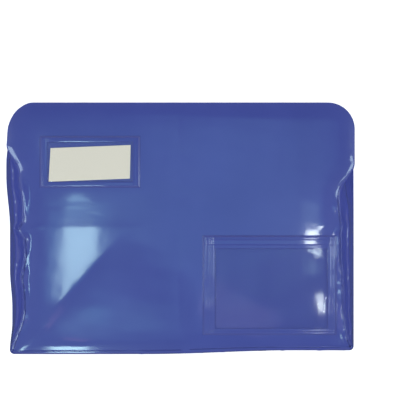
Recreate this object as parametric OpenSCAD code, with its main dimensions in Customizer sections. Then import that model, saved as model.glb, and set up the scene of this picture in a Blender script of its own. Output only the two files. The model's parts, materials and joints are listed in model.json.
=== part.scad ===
// Cash deposit bag
// A boxed zip bag in coated nylon, lying on its back. X runs along the bag, Y towards the zip
// edge and Z up through its thickness. The origin is the centre of the back face. Millimetres.

/* [Node] */
// The sub-part to draw

/* [Bag] */
// Length of the back outline
bag_length = 460; // [300:1:600]
// Height of the back outline, from the bottom edge to the zip edge
bag_height = 332; // [200:1:450]
// Thickness between the outer faces at the seams
bag_depth = 44; // [36:1:60]
// Radius of the two corners that the zip can turn
top_radius = 35; // [25:1:50]
// Radius of the two bottom corners
bottom_radius = 5; // [3:1:12]
// Thickness of the coated nylon
sheet = 0.8; // [0.5:0.1:1.2]
// Rise of the front panel between its seams and its flat middle
crown = 2; // [0:0.5:4]
// Width of the rolled edge of the front panel
roll = 6; // [4:1:12]
// How far the side seams of the front panel stand in from the back outline
side_tuck = 19; // [0:1:24]
// How far the left edge leans in below the middle
left_lean = 8; // [0:1:12]
// How far the bottom edge lifts towards the right corner
bottom_lift = 5; // [0:1:10]

/* [Zip] */
// Depth of the zip below the outline
zip_recess = 14; // [10:0.5:18]
// Half the opening between the folded edges of the facings
zip_gap = 6; // [5:0.5:8]
// Width of the flat land beside each folded edge
zip_land = 3; // [2:0.5:5]
// X of the left end of the zip boxing
zip_left = -190; // [-200:1:0]
// Y of the seam below the lower end of the zip
cross_seam_y = 68; // [20:1:90]
// Y of the last pair of teeth
zip_end_y = 96; // [60:1:120]
// Tape thickness
tape = 0.5; // [0.3:0.1:0.8]
// Width of one tape
tape_width = 13; // [10:0.5:16]
// Distance between neighbouring teeth on one tape
tooth_pitch = 3; // [2:0.1:5]
// Thickness of a tooth along the tape
tooth = 1.3; // [0.8:0.1:2]
// Thickness of the chain through the tape
chain = 2.6; // [2:0.1:4]

/* [Slider] */
// X of the slider when the zip is closed
slider_x = -176; // [-190:1:180]
// Length of the slider
slider_length = 12; // [9:0.5:16]
// Width of the slider
slider_width = 9.6; // [8:0.2:11]
// Radius of the puller's cross bar
bar_radius = 0.8; // [0.6:0.05:1.2]
// Radial clearance of the cross bar in the crown
bar_clearance = 0.06; // [0.02:0.01:0.1]
// Length of the puller from its cross bar
puller_length = 30; // [20:1:40]

/* [Pockets] */
// Centre of the label pocket
label_centre = [-118, 88]; // [-200:1:200]
// Size of the label pocket
label_size = [132, 68]; // [40:1:200]
// Welded bands of the label pocket: left, right, bottom and top
label_bands = [10.5, 10.5, 8, 8]; // [4:0.5:20]
// Size of the card in the label pocket
card_size = [106, 44]; // [30:1:110]
// Turn of the card in its pocket
card_turn = 2.2; // [-4:0.1:4]
// Centre of the document pocket
document_centre = [118, -74]; // [-200:1:200]
// Size of the document pocket
document_size = [176, 131]; // [60:1:200]
// Bands of the document pocket: left, right, bottom and top
document_bands = [16.5, 11.5, 8.5, 17.5]; // [4:0.5:24]
// Thickness of a window film
film = 0.25; // [0.1:0.05:0.5]
// Thickness of a pocket's cover patch
patch = 0.55; // [0.4:0.05:1]

/* [Hidden] */
$fn = 24;
half_x = bag_length / 2;
half_y = bag_height / 2;
mid_z = bag_depth / 2;
top_face = bag_depth + crown;
front_z = bag_depth - sheet - 0.02;
back_z = sheet + 0.02;
arc_x = half_x - top_radius;
arc_y = half_y - top_radius;
tape_face = zip_recess - tape / 2;
land_face = tape_face - sheet - 0.05;
chain_radius = top_radius - zip_recess;
straight_run = arc_x - zip_left;
chain_start = 16;
arc_run = chain_radius * PI / 2;
chain_end = straight_run + arc_run + arc_y - zip_end_y;
tooth_count = floor((chain_end - chain_start) / tooth_pitch);
slider_z = mid_z;
plate = 1.1;
plate_gap = chain / 2 + 0.35;
pivot_n = zip_recess - plate_gap - plate - 1.9;
pivot_y = half_y - pivot_n;
thread_size = 0.5;
navy = [0.23, 0.3, 0.6];
navy_dark = [0.2, 0.26, 0.54];
brass = [0.62, 0.52, 0.26];
thread_blue = [0.16, 0.2, 0.42];
clear = [0.7, 0.78, 0.9, 0.5];

// Smooth step from 0 at a to 1 at b
function blend(a, b, v) = let (t = min(1, max(0, (v - a) / (b - a)))) t * t * (3 - 2 * t);

// How the slack side and bottom edges settle away from a straight rectangle
function lean(y) = left_lean * (0.62 * blend(70, 0, y) + 0.38 * blend(-55, -105, y) - 0.4 * blend(-125, -162, y));
function settle(p) = [
    p[0] + lean(p[1]) * blend(-185, -215, p[0]),
    p[1] + bottom_lift * blend(-40, 150, p[0]) * blend(-140, -158, p[1])
];

// How far the front seam stands in from the back outline at one place on it
function tuck_right(y) = side_tuck * blend(86, 46, y) - 4 * blend(20, -80, y) - 9 * blend(-95, -160, y);
function tuck_left(y) = side_tuck * blend(112, 74, y) - 3 * blend(0, -110, y) - 12 * blend(-105, -160, y);
function tuck(p) = abs(p[0]) > half_x - 12 ? (p[0] > 0 ? tuck_right(p[1]) : tuck_left(p[1]))
    : (p[1] < -half_y + 12 ? 4.5 : 0);

// A station on the outline: centre, way in, radius, how the radius shrinks inwards, and angle
function flat_station(p, way) = [p, way, 0, 0, 0];
function arc_station(c, a) = [c, [0, 0], top_radius, 1, a];
function foot_station(side, a) = [[side * (half_x - bottom_radius), bottom_radius - half_y],
    [-side, 1], bottom_radius, 0, a];
function at(s, n) = s[0] + n * s[1] + (s[2] - s[3] * n) * [cos(s[4]), sin(s[4])];
function place(s, n) = settle(at(s, n));

zip_run = concat(
    [for (x = [zip_left:35:arc_x - 5]) flat_station([x, half_y], [0, -1])],
    [for (a = [90:-7.5:0]) arc_station([arc_x, arc_y], a)],
    [for (y = [arc_y - 8:-7:cross_seam_y + 4]) flat_station([half_x, y], [-1, 0])],
    [flat_station([half_x, cross_seam_y + 0.1], [-1, 0])]
);
plain_run = concat(
    [flat_station([half_x, cross_seam_y - 0.1], [-1, 0])],
    [for (y = [cross_seam_y - 8:-11:15 - half_y]) flat_station([half_x, y], [-1, 0])],
    [for (a = [0:-30:-90]) foot_station(1, a)],
    [for (x = [half_x - 25:-27:25 - half_x]) flat_station([x, -half_y], [0, 1])],
    [for (a = [-90:-30:-180]) foot_station(-1, a)],
    [for (y = [15 - half_y:9:arc_y - 4]) flat_station([-half_x, y], [1, 0])],
    [for (a = [180:-7.5:90]) arc_station([-arc_x, arc_y], a)],
    [flat_station([zip_left - 0.1, half_y], [0, -1])]
);
whole_run = concat(zip_run, plain_run);

// Outer face of the boxing at a station, from the front seam to the back seam, as [depth, z]
function groove(s) = [[tuck(at(s, 0)), front_z], [land_face, mid_z + zip_gap + zip_land],
    [land_face, mid_z + zip_gap], [land_face, mid_z - zip_gap],
    [land_face, mid_z - zip_gap - zip_land], [0, back_z]];
function slack(s) = let (t = tuck(at(s, 0)))
    [[t, front_z], [t * 0.62 + 1.5, mid_z + 11], [t * 0.3 + 1.2, mid_z + 5],
        [t * 0.24 + 0.8, mid_z - 4], [t * 0.1 + 1.2, mid_z - 12], [0, back_z]];
// 1 where the boxing keeps the groove of the zip, 0 where it hangs slack
function groove_share(p) = p[0] > 0 ? blend(18, cross_seam_y, p[1]) : blend(76, arc_y - 2, p[1]);
function boxing(s) = let (g = groove(s), k = slack(s), w = groove_share(at(s, 0)))
    [for (i = [0:5]) g[i] * w + k[i] * (1 - w)];

// The same line moved inwards by d, square to itself
function unit(v) = v / norm(v);
function inward(line, i) = let (
    a = i > 0 ? unit(line[i] - line[i - 1]) : unit(line[1] - line[0]),
    b = i < len(line) - 1 ? unit(line[i + 1] - line[i]) : a,
    m = unit(a + b),
    side = [-m[1], m[0]]
) side / max(0.5, side * [-a[1], a[0]]);
function moved(line, d) = [for (i = [0:len(line) - 1]) line[i] + d * inward(line, i)];
function band(line, t) = concat(line, [for (i = [len(line) - 1:-1:0]) moved(line, t)[i]]);
function clamp_ends(loop) = [for (p = loop) [p[0], min(front_z, max(back_z, p[1]))]];

// Point and side at a distance d along a line, and a square thread section centred on it
function along(line, d, i = 0) = let (l = norm(line[i + 1] - line[i]))
    d <= l || i == len(line) - 2 ? line[i] + unit(line[i + 1] - line[i]) * d : along(line, d - l, i + 1);
function reversed(line) = [for (i = [len(line) - 1:-1:0]) line[i]];
function thread_section(p) = let (h = thread_size / 2)
    [p + [-h, h], p + [h, h], p + [h, -h], p + [-h, -h]];

// A solid swept through stations, one [depth, z] section at each; closed joins the two ends
module sweep(run, sections, closed = false) {
    n = len(run);
    m = len(sections[0]);
    pts = [for (k = [0:n - 1]) for (q = sections[k]) let (p = place(run[k], q[0])) [p[0], p[1], q[1]]];
    last = closed ? n - 1 : n - 2;
    sides = [for (k = [0:last]) for (j = [0:m - 1])
        let (a = k * m, b = ((k + 1) % n) * m, e = (j + 1) % m)
        for (f = [[a + j, b + j, b + e], [a + j, b + e, a + e]]) f];
    caps = closed ? [] : [[for (j = [0:m - 1]) j], [for (j = [m - 1:-1:0]) (n - 1) * m + j]];
    polyhedron(points = pts, faces = concat(sides, caps), convexity = 10);
}

module back_panel() {
    color(navy_dark)
    linear_extrude(sheet)
    polygon([for (s = reversed(whole_run)) place(s, 0)]);
}

// The front sheet: rings from the seam up its rolled edge, then a flat middle about its centre
module front_panel() {
    steps = [0, roll * 0.18, roll * 0.5, roll];
    lifts = [0, crown * 0.42, crown * 0.82, crown];
    n = len(whole_run);
    top = [for (j = [0:3]) for (s = whole_run)
        let (p = place(s, tuck(at(s, 0)) + steps[j])) [p[0], p[1], bag_depth + lifts[j]]];
    under = [for (p = top) p - [0, 0, sheet]];
    c = 4 * n;
    walls = [for (j = [0:2]) for (k = [0:n - 1])
        let (a = j * n + k, b = j * n + (k + 1) % n, e = c + a, f = c + b)
        for (t = [[a, b, b + n], [a, b + n, a + n], [e, f + n, f], [e, e + n, f + n]]) t];
    rim = [for (k = [0:n - 1]) let (a = k, b = (k + 1) % n) for (f = [[a, c + a, c + b], [a, c + b, b]]) f];
    caps = [for (k = [0:n - 1]) let (a = 3 * n + k, b = 3 * n + (k + 1) % n)
        for (f = [[a, b, 2 * c], [c + b, c + a, 2 * c + 1]]) f];
    centres = [[0, 0, top_face], [0, 0, top_face - sheet]];
    color(navy)
    polyhedron(points = concat(top, under, centres), faces = concat(walls, rim, caps), convexity = 10);
}

module plain_boxing() {
    color(navy)
    sweep(plain_run, [for (s = plain_run) clamp_ends(band(boxing(s), sheet))]);
}

module zip_facing_front() {
    color(navy)
    sweep(zip_run, [for (s = zip_run) let (g = groove(s)) clamp_ends(band([g[0], g[1], g[2]], sheet))]);
}

module zip_facing_back() {
    color(navy)
    sweep(zip_run, [for (s = zip_run) let (g = groove(s)) clamp_ends(band([g[3], g[4], g[5]], sheet))]);
}

// One tape, with its edge held in the roots of the teeth
module zip_tape(side) {
    near = mid_z + side * 1.7;
    far = near + side * (tape_width - 1.7);
    corners = [[tape_face, far], [tape_face + tape, far], [tape_face + tape, near], [tape_face, near]];
    run = [for (s = zip_run) if (s[4] > 0 || s[0][1] > cross_seam_y + 3) s];
    color(navy_dark)
    sweep(run, [for (s = run) side > 0 ? corners : reversed(corners)]);
}

module zip_tape_front() {
    zip_tape(1);
}

module zip_tape_back() {
    zip_tape(-1);
}

// Place and heading at a distance along the chain from the left end of the zip boxing
module on_chain(d) {
    if (d < straight_run)
        translate([zip_left + d, half_y - zip_recess, mid_z]) children();
    else if (d < straight_run + arc_run)
        translate([arc_x, arc_y, mid_z])
        rotate([0, 0, -(d - straight_run) / chain_radius * 180 / PI])
        translate([0, chain_radius, 0]) children();
    else
        translate([half_x - zip_recess, arc_y - (d - straight_run - arc_run), mid_z])
        rotate([0, 0, -90]) children();
}

module zip_teeth(side, offset) {
    color(brass)
    for (i = [0:tooth_count - 1])
        on_chain(chain_start + offset + i * tooth_pitch)
        translate([-tooth / 2, -chain / 2, side > 0 ? -1 : -3])
        cube([tooth, chain, 4]);
}

module zip_teeth_front() {
    zip_teeth(1, 0);
}

module zip_teeth_back() {
    zip_teeth(-1, tooth_pitch / 2);
}

module zip_top_stops() {
    color(brass)
    for (side = [-1, 1])
        on_chain(5)
        translate([-1.4, -1.1, side * 2.9 - 1.3])
        cube([2.8, 2.2, 2.6]);
}

module zip_bottom_stop() {
    color(brass)
    on_chain(chain_end + 1.6)
    translate([-1.5, -1.2, -3.2])
    cube([3, 2.4, 6.4]);
}

// Outline of a slider plate: wide shoulders at the leading end, narrower where the chain leaves
module slider_outline() {
    l = slider_length / 2;
    w = slider_width / 2;
    polygon([[-l, -w + 1.2], [-l + 1.2, -w], [-1, -w], [l - 1, -w + 0.8], [l, -w + 1.8],
        [l, w - 1.8], [l - 1, w - 0.8], [-1, w], [-l + 1.2, w], [-l, w - 1.2]]);
}

// Plate or flange of the slider between two heights above the tape, on the zip's outward side
module slider_layer(from, to) {
    translate([0, to, 0])
    rotate([90, 0, 0])
    linear_extrude(to - from)
    children();
}

module slider_body() {
    l = slider_length / 2;
    color(brass)
    translate([slider_x, half_y - zip_recess, slider_z]) {
        for (low = [plate_gap, -plate_gap - plate])
            slider_layer(low, low + plate) slider_outline();
        for (low = [tape / 2 + 0.35, -plate_gap - 0.01])
            slider_layer(low, low == tape / 2 + 0.35 ? plate_gap + 0.01 : -tape / 2 - 0.35)
            difference() {
                slider_outline();
                translate([-l - 1, -slider_width / 2 + 1.7])
                square([slider_length + 2, slider_width - 3.4]);
            }
        slider_layer(-plate_gap - 0.01, plate_gap + 0.01)
        polygon([[-l + 0.4, 0], [-l + 1.6, -1.1], [-l + 3.2, 0], [-l + 1.6, 1.1]]);
    }
}

// The arch on the slider, with the hole for the puller's cross bar
module slider_crown() {
    foot = pivot_n + 1.9;
    color(brass)
    translate([slider_x, 0, slider_z - 1.4])
    difference() {
        union() {
            translate([0, pivot_y, 0]) cylinder(r = 1.9, h = 2.8, $fn = 32);
            translate([-1.9, half_y - foot, 0]) cube([3.8, 1.9, 2.8]);
        }
        translate([0, pivot_y, -1]) cylinder(r = bar_radius + bar_clearance, h = 5, $fn = 32);
    }
}

// The puller lies along the zip at rest: cross bar, two arms and a tab with a hole in its end
module puller_tab() {
    color(brass)
    translate([slider_x, pivot_y, slider_z]) {
        translate([0, 0, -2.6]) cylinder(r = bar_radius, h = 5.2, $fn = 32);
        slider_layer(-0.6, 0.6)
        difference() {
            union() {
                translate([0, -3.1]) square([puller_length - 3.5, 6.2]);
                translate([puller_length - 3.5, 0]) circle(r = 3.5, $fn = 32);
                translate([4.5, -3.5]) square([puller_length - 8, 7]);
                circle(r = 0.6);
            }
            translate([-4, -1.8]) square([7.4, 3.6]);
            translate([puller_length - 4.2, 0]) circle(r = 1.7);
        }
    }
}

module front_seam_thread() {
    color(thread_blue)
    sweep(whole_run, [for (k = [0:len(whole_run) - 1])
        let (s = whole_run[k], line = k < len(zip_run) ? groove(s) : boxing(s))
        thread_section(along(line, 2.2))], closed = true);
}

module back_seam_thread() {
    color(thread_blue)
    sweep(whole_run, [for (k = [0:len(whole_run) - 1])
        let (s = whole_run[k], line = k < len(zip_run) ? groove(s) : boxing(s))
        thread_section(along(reversed(line), 3.5))], closed = true);
}

// Stitch rows through the flat lands of the facings and the tape behind them
module zip_stitch(side) {
    z = mid_z + side * (zip_gap + 1.6);
    color(thread_blue)
    sweep(zip_run, [for (s = zip_run) thread_section([land_face, z])]);
}

module zip_stitch_front() {
    zip_stitch(1);
}

module zip_stitch_back() {
    zip_stitch(-1);
}

// Short seams across the boxing, beside each end of the zip boxing
module cross_seam_thread() {
    color(thread_blue)
    for (end = [[half_x - land_face, cross_seam_y - 4, 0.7], [zip_left - 4, half_y - land_face, 0]])
        translate([end[0], end[1], mid_z])
        cube([thread_size, thread_size, 2 * (zip_gap + 1)], center = true);
}

// A welded pocket's cover: solid bands on three sides, a free top band, window cut through
module pocket_frame(centre, size, bands, gap, ribs) {
    lap = 2;
    window = [size[0] - bands[0] - bands[1], size[1] - bands[2] - bands[3]];
    height = gap + film + patch;
    low = -size / 2;
    translate([centre[0], centre[1], top_face])
    difference() {
        union() {
            translate([low[0], low[1], 0])
            linear_extrude(height)
            difference() {
                translate([1.5, 1.5])
                offset_square([size[0] - 3, size[1] - 3], 1.5);
                translate([bands[0] - lap, bands[2] - lap])
                square([window[0] + 2 * lap, size[1]]);
            }
            translate([low[0] + bands[0] - lap - 0.5, low[1] + bands[2] - lap - 0.5, gap + film])
            cube([window[0] + 2 * lap + 1, size[1] - bands[2] + lap + 0.5, patch]);
            for (side = [0, 1], i = [0:ribs - 1])
                translate([side == 0 ? low[0] + 1.6 + i * 2.4 : -low[0] - 2.5 - i * 2.4, low[1] + 2, height - 0.01])
                cube([0.9, size[1] - 4, 0.2]);
        }
        translate([low[0] + bands[0], low[1] + bands[2], gap + film - 1])
        cube([window[0], window[1], patch + 2]);
    }
}

// A rectangle with true round corners of radius r outside the given size
module offset_square(size, r) {
    for (x = [0, size[0]], y = [0, size[1]])
        translate([x, y]) circle(r = r);
    translate([-r, 0]) square([size[0] + 2 * r, size[1]]);
    translate([0, -r]) square([size[0], size[1] + 2 * r]);
}

module pocket_window(centre, size, bands, gap) {
    lap = 1.9;
    translate([centre[0] - size[0] / 2 + bands[0] - lap, centre[1] - size[1] / 2 + bands[2] - lap,
        top_face + gap])
    cube([size[0] - bands[0] - bands[1] + 2 * lap, size[1] - bands[2] + lap - 0.5, film]);
}

module label_pocket_frame() {
    color(navy_dark)
    pocket_frame(label_centre, label_size, label_bands, 0.9, 3);
}

module label_pocket_window() {
    color(clear)
    pocket_window(label_centre, label_size, label_bands, 0.9);
}

module label_card() {
    color([0.85, 0.85, 0.8])
    translate([label_centre[0], label_centre[1] - 2, top_face + 0.3])
    rotate([0, 0, card_turn])
    linear_extrude(0.3)
    square(card_size, center = true);
}

module document_pocket_frame() {
    color(navy_dark)
    pocket_frame(document_centre, document_size, document_bands, 0.8, 4);
}

module document_pocket_window() {
    color(clear)
    pocket_window(document_centre, document_size, document_bands, 0.8);
}

front_panel();
back_panel();
plain_boxing();
zip_facing_front();
zip_facing_back();
zip_tape_front();
zip_tape_back();
zip_teeth_front();
zip_teeth_back();
zip_top_stops();
zip_bottom_stop();
slider_body();
slider_crown();
puller_tab();
front_seam_thread();
back_seam_thread();
zip_stitch_front();
zip_stitch_back();
cross_seam_thread();
label_pocket_frame();
label_pocket_window();
label_card();
document_pocket_frame();
document_pocket_window();
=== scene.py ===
import json
import math
import random

import bmesh
import bpy
import numpy as np
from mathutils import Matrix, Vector

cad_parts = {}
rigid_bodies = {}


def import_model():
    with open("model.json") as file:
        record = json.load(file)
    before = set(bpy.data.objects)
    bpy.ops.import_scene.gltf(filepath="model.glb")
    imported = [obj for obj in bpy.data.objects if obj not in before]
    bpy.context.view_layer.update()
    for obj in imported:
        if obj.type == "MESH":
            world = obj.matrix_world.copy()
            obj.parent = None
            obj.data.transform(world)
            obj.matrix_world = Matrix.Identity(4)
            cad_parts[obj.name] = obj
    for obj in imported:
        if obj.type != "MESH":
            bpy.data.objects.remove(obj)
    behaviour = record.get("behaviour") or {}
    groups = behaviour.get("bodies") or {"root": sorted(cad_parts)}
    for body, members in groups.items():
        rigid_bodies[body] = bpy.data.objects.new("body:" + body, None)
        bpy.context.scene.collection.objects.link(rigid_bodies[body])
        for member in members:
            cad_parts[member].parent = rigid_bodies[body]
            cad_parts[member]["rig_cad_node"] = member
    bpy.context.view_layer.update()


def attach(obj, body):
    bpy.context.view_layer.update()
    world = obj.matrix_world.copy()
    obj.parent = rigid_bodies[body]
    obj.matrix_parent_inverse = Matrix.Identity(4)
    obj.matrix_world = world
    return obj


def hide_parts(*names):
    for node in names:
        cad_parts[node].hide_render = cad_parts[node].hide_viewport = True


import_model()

# Shapes are worked out in millimetres, with the sizes of part.scad.
MM = 0.001
HALF_X, HALF_Y = 230.0, 166.0
TOP_R, FOOT_R = 35.0, 5.0
ARC_X, ARC_Y = HALF_X - TOP_R, HALF_Y - TOP_R
SHEET, TAPE_SHEET, FILM = 0.8, 0.5, 0.25
MID_Z = 22.0
SEAM_Z, BACK_Z = 43.2, 0.8
# level of the middle of the front sheet, and of its seam's top
PLATEAU, SEAM_TOP = 46.0, 44.6
# how far in from the outline the facings' folded edges and the zip lie
LAND, ZIP_N = 12.9, 14.0
ZIP_LEFT, CROSS_Y = -190.0, 68.0
FOOT_TUCK = 2.2


# ---------------------------------------------------------------- small maths
def blend(a, b, v):
    t = np.clip((np.asarray(v, float) - a) / (b - a), 0, 1)
    return t * t * (3 - 2 * t)


def hump(v, centre, width):
    return np.exp(-(((np.asarray(v, float) - centre) / width) ** 2))


def humps(v, rows):
    """The sum of humps, each given as (height, centre, width)."""
    return sum(height * hump(v, centre, width) for height, centre, width in rows)


def travelled(points):
    """Distance along a line of points, starting at 0."""
    return np.concatenate([[0], np.cumsum(np.linalg.norm(np.diff(points, axis=0), axis=1))])


def waves(seed, count, shortest, longest):
    """A smooth random field of x and y, between about -1 and 1, made of a few sines."""
    rng = random.Random(seed)
    parts = []
    for _ in range(count):
        angle = rng.uniform(0, math.tau)
        k = math.tau / rng.uniform(shortest, longest)
        parts.append((k * math.cos(angle), k * math.sin(angle), rng.uniform(0, math.tau)))

    def field(x, y):
        return sum(np.sin(a * x + b * y + c) for a, b, c in parts) / math.sqrt(count)

    return field


# ---------------------------------------------------------------- outline of the bag
def lean(y):
    """How far the left edge stands in, below its upper third."""
    return 8.0 * (0.62 * blend(70, 0, y) + 0.38 * blend(-55, -105, y) - 0.4 * blend(-125, -162, y))


def settle(p):
    """The outline as it lies: the left edge leans in, and the foot lifts towards the right."""
    x, y = p[..., 0], p[..., 1]
    left_edge = lean(y) + 3 * blend(88, 122, y) + 2.5 * blend(120, 150, y)
    foot_lift = 5 * blend(-40, 150, x) * blend(-140, -158, y)
    return np.stack([x + left_edge * blend(-185, -215, x), y + foot_lift], -1)


RIGHT_TUCKS = [(2.2, 45, 16), (-2.0, 4, 9), (1.2, -40, 14), (-1.0, -92, 12)]
LEFT_TUCKS = [(2.0, 35, 18), (-7.0, -1, 7), (3.2, -34, 18), (-1.4, -66, 9)]


def tuck_right(y):
    plain = 19 * blend(86, 46, y) - 4 * blend(20, -80, y) - 8 * blend(-95, -160, y)
    return plain + humps(y, RIGHT_TUCKS)


def tuck_left(y):
    plain = 19 * blend(112, 74, y) - 3 * blend(0, -110, y) - 12 * blend(-105, -160, y)
    return plain + humps(y, LEFT_TUCKS)


def tuck(p):
    """How far inside the outline the front seam lies."""
    x, y = p[..., 0], p[..., 1]
    side = np.where(x > 0, tuck_right(y), tuck_left(y))
    foot = np.where(y < -HALF_Y + 12, FOOT_TUCK, 0.0)
    corner = FOOT_TUCK + (side - FOOT_TUCK) * blend(-HALF_Y, -HALF_Y + 16, y)
    return np.where(np.abs(x) > HALF_X - 12, corner, foot)


class Run:
    """Stations on the outline: base point, way in, radius, how it shrinks inwards, and angle."""

    def __init__(self, rows):
        rows = np.array(rows, float)
        self.c, self.way, self.r, self.rn = rows[:, 0:2], rows[:, 2:4], rows[:, 4], rows[:, 5]
        self.dir = np.stack([np.cos(rows[:, 6]), np.sin(rows[:, 6])], -1)
        self.n = len(rows)
        self.base = self.raw(np.zeros(self.n))
        self.tuck = tuck(self.base)

    def raw(self, n):
        n = np.asarray(n, float)
        return self.c + n[:, None] * self.way + (self.r - self.rn * n)[:, None] * self.dir

    def place(self, n):
        return settle(self.raw(n))


def flat_rows(start, end, way, step):
    start, end = np.array(start, float), np.array(end, float)
    count = max(2, int(np.linalg.norm(end - start) / step) + 1)
    return [[*(start + (end - start) * t), *way, 0, 0, 0] for t in np.linspace(0, 1, count)]


def arc_rows(cx, a0, a1, step):
    count = max(3, int(abs(a1 - a0) * TOP_R / step) + 1)
    return [[cx, ARC_Y, 0, 0, TOP_R, 1, a] for a in np.linspace(a0, a1, count)]


def foot_rows(side, a0, a1):
    centre = [side * (HALF_X - FOOT_R), FOOT_R - HALF_Y]
    return [[*centre, -side, 1, FOOT_R, 0, a] for a in np.linspace(a0, a1, 9)]


def zip_rows(step, end_y=CROSS_Y):
    half = math.pi / 2
    return (
        flat_rows((ZIP_LEFT, HALF_Y), (ARC_X - 1, HALF_Y), (0, -1), step)
        + arc_rows(ARC_X, half, 0, min(step, 2.0))
        + flat_rows((HALF_X, ARC_Y - 1), (HALF_X, end_y), (-1, 0), step)
    )


def plain_rows(step, start_y=CROSS_Y, end_x=ZIP_LEFT):
    half = math.pi / 2
    foot_x, foot_y = HALF_X - FOOT_R, HALF_Y - FOOT_R
    return (
        flat_rows((HALF_X, start_y), (HALF_X, -foot_y + 1), (-1, 0), step)
        + foot_rows(1, 0, -half)
        + flat_rows((foot_x - 1, -HALF_Y), (1 - foot_x, -HALF_Y), (0, 1), step)
        + foot_rows(-1, -half, -2 * half)
        + flat_rows((-HALF_X, 1 - foot_y), (-HALF_X, ARC_Y - 1), (1, 0), step)
        + arc_rows(-ARC_X, 2 * half, half, 2.0)
        + flat_rows((1 - ARC_X, HALF_Y), (end_x, HALF_Y), (0, -1), step)
    )


# ---------------------------------------------------------------- making pieces
BAG = "bag"


def mesh_object(name, verts, faces, smooth=True):
    mesh = bpy.data.meshes.new(name)
    points = [tuple(float(c) * MM for c in v) for v in verts]
    mesh.from_pydata(points, [], [tuple(int(i) for i in f) for f in faces])
    mesh.validate()
    mesh.update()
    obj = bpy.data.objects.new(name, mesh)
    bpy.context.scene.collection.objects.link(obj)
    for poly in mesh.polygons:
        poly.use_smooth = smooth
    return obj


def finish_piece(obj, material, body, node):
    obj.data.materials.clear()
    obj.data.materials.append(material)
    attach(obj, body)
    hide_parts(node)
    return obj


def grid_faces(rows, cols, wrap_cols=False, flip=False):
    faces = []
    for i in range(rows - 1):
        for j in range(cols if wrap_cols else cols - 1):
            a, b = i * cols + j, i * cols + (j + 1) % cols
            c, d = b + cols, a + cols
            faces.append((a, d, c, b) if flip else (a, b, c, d))
    return faces


def solidify(obj, thickness):
    """Gives a sheet its thickness, on the inner side of its face."""
    mod = obj.modifiers.new("thickness", "SOLIDIFY")
    mod.thickness = thickness * MM
    mod.offset = -1.0
    mod.use_even_offset = False


def fix_normals(obj):
    bm = bmesh.new()
    bm.from_mesh(obj.data)
    bmesh.ops.recalc_face_normals(bm, faces=bm.faces)
    bm.to_mesh(obj.data)
    bm.free()


# ---------------------------------------------------------------- materials
def new_material(name):
    mat = bpy.data.materials.new(name)
    mat.use_nodes = True
    nodes = mat.node_tree.nodes
    coords = nodes.new("ShaderNodeTexCoord").outputs["Object"]
    return mat, nodes, mat.node_tree.links, nodes["Principled BSDF"], coords


def noise_node(nodes, links, coords, scale, detail, rough):
    node = nodes.new("ShaderNodeTexNoise")
    node.inputs["Scale"].default_value = scale
    node.inputs["Detail"].default_value = detail
    node.inputs["Roughness"].default_value = rough
    links.new(coords, node.inputs["Vector"])
    return node.outputs["Fac"]


def ramp(nodes, links, fac, stops):
    node = nodes.new("ShaderNodeValToRGB")
    while len(node.color_ramp.elements) < len(stops):
        node.color_ramp.elements.new(0.5)
    for element, (pos, color) in zip(node.color_ramp.elements, stops):
        element.position = pos
        element.color = (*color, 1)
    links.new(fac, node.inputs["Fac"])
    return node.outputs["Color"]


def bump(nodes, links, height, strength, distance, after=None):
    node = nodes.new("ShaderNodeBump")
    node.inputs["Strength"].default_value = strength
    node.inputs["Distance"].default_value = distance
    links.new(height, node.inputs["Height"])
    if after is not None:
        links.new(after, node.inputs["Normal"])
    return node.outputs["Normal"]


def coated_nylon(name, dark, light, rough=0.36):
    """Glossy coated nylon: a faint mottle, orange peel, and the scrim showing through the coat."""
    mat, nodes, links, shader, coords = new_material(name)
    mottle = noise_node(nodes, links, coords, 9, 4, 0.55)
    links.new(ramp(nodes, links, mottle, [(0.3, dark), (0.7, light)]), shader.inputs["Base Color"])
    smear = noise_node(nodes, links, coords, 28, 3, 0.6)
    span = nodes.new("ShaderNodeMapRange")
    span.inputs["To Min"].default_value = rough * 0.85
    span.inputs["To Max"].default_value = rough * 1.25
    links.new(smear, span.inputs["Value"])
    links.new(span.outputs["Result"], shader.inputs["Roughness"])
    scrim = []
    for axis in ("X", "Y"):
        wave = nodes.new("ShaderNodeTexWave")
        wave.bands_direction = axis
        wave.inputs["Scale"].default_value = 190
        wave.inputs["Distortion"].default_value = 0.6
        links.new(coords, wave.inputs["Vector"])
        scrim.append(wave.outputs["Fac"])
    mix = nodes.new("ShaderNodeMath")
    mix.operation = "MAXIMUM"
    links.new(scrim[0], mix.inputs[0])
    links.new(scrim[1], mix.inputs[1])
    peel = noise_node(nodes, links, coords, 420, 2, 0.5)
    normal = bump(nodes, links, mix.outputs[0], 0.04, 0.00012)
    normal = bump(nodes, links, peel, 0.05, 0.00012, normal)
    links.new(normal, shader.inputs["Normal"])
    shader.inputs["IOR"].default_value = 1.42
    shader.inputs["Coat Weight"].default_value = 1.0
    shader.inputs["Coat Roughness"].default_value = 0.07
    return mat


def brass_material():
    mat, nodes, links, shader, coords = new_material("aged_brass")
    tarnish = noise_node(nodes, links, coords, 260, 4, 0.65)
    stops = [(0.3, (0.30, 0.21, 0.085)), (0.5, (0.58, 0.44, 0.19)), (0.72, (0.8, 0.66, 0.34))]
    links.new(ramp(nodes, links, tarnish, stops), shader.inputs["Base Color"])
    links.new(bump(nodes, links, tarnish, 0.25, 0.00015), shader.inputs["Normal"])
    shader.inputs["Metallic"].default_value = 0.8
    shader.inputs["Roughness"].default_value = 0.38
    return mat


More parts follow.
